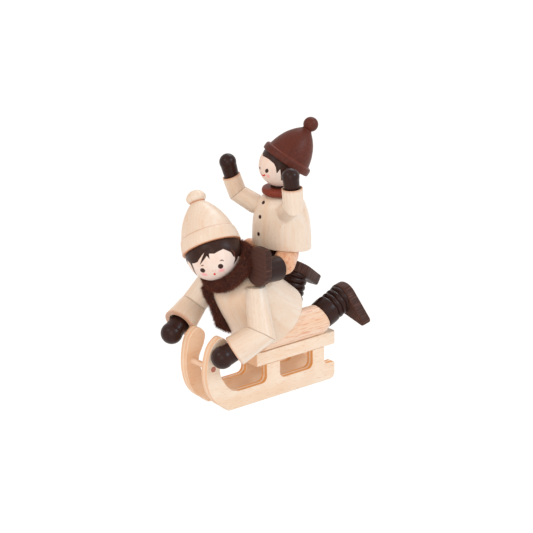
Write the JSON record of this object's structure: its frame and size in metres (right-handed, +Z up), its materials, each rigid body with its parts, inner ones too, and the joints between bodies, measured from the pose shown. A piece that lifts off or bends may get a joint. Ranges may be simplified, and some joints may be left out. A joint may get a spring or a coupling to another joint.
{
  "type": "sled ornament",
  "caption": "Turned-wood sled ornament: an open-runner sled with a child lying on it in bobble hat and plush scarf, and a smaller child riding on the back with arms raised.",
  "frame": {"origin": "middle of the bottom of the whole ornament's box, on the surface that the runners stand on", "axes": "+Z up, -Y towards the front of the sled, +X to the riders' left"},
  "size_m": [0.0394, 0.0658, 0.0908],
  "materials": {
    "pale_ply": "sanded pale board with scorched sawn edges",
    "pale_maple": "clear matt varnish on turned pale wood",
    "pink_beech": "clear matt varnish on turned pinkish wood",
    "skin_white": "turned wood painted pinkish white, with a painted face and dark hair",
    "dark_stain": "near-black brown stain under satin varnish",
    "red_stain": "red-brown stain under satin varnish",
    "brown_plush": "short dark brown pile"
  },
  "bodies": {
    "root": {"runner_left": "pale_ply", "runner_right": "pale_ply", "seat_board": "pale_ply", "front_dowel": "pink_beech", "lying_coat": "pale_maple", "lying_leg_left": "pink_beech", "lying_leg_right": "pink_beech", "lying_boot_left": "dark_stain", "lying_boot_right": "dark_stain", "lying_sole_left": "dark_stain", "lying_sole_right": "dark_stain", "lying_upper_arm_left": "pale_maple", "lying_upper_arm_right": "pale_maple", "lying_forearm_left": "pale_maple", "lying_forearm_right": "pale_maple", "lying_mitten_left": "dark_stain", "lying_mitten_right": "dark_stain", "lying_neck_peg": "pale_maple", "lying_head": "skin_white", "lying_hat": "pale_maple", "lying_scarf": "brown_plush", "lying_scarf_end": "brown_plush", "saddle_peg": "dark_stain", "seated_coat": "pale_maple", "seated_thigh_left": "pink_beech", "seated_thigh_right": "pink_beech", "seated_boot_left": "dark_stain", "seated_boot_right": "dark_stain", "seated_sole_left": "dark_stain", "seated_sole_right": "dark_stain", "seated_upper_arm_left": "pale_maple", "seated_upper_arm_right": "pale_maple", "seated_forearm_left": "pale_maple", "seated_forearm_right": "pale_maple", "seated_mitten_left": "dark_stain", "seated_mitten_right": "dark_stain", "seated_neck_peg": "dark_stain", "seated_scarf_ring": "red_stain", "seated_head": "skin_white", "seated_hat": "red_stain"}
  },
  "joints": []
}
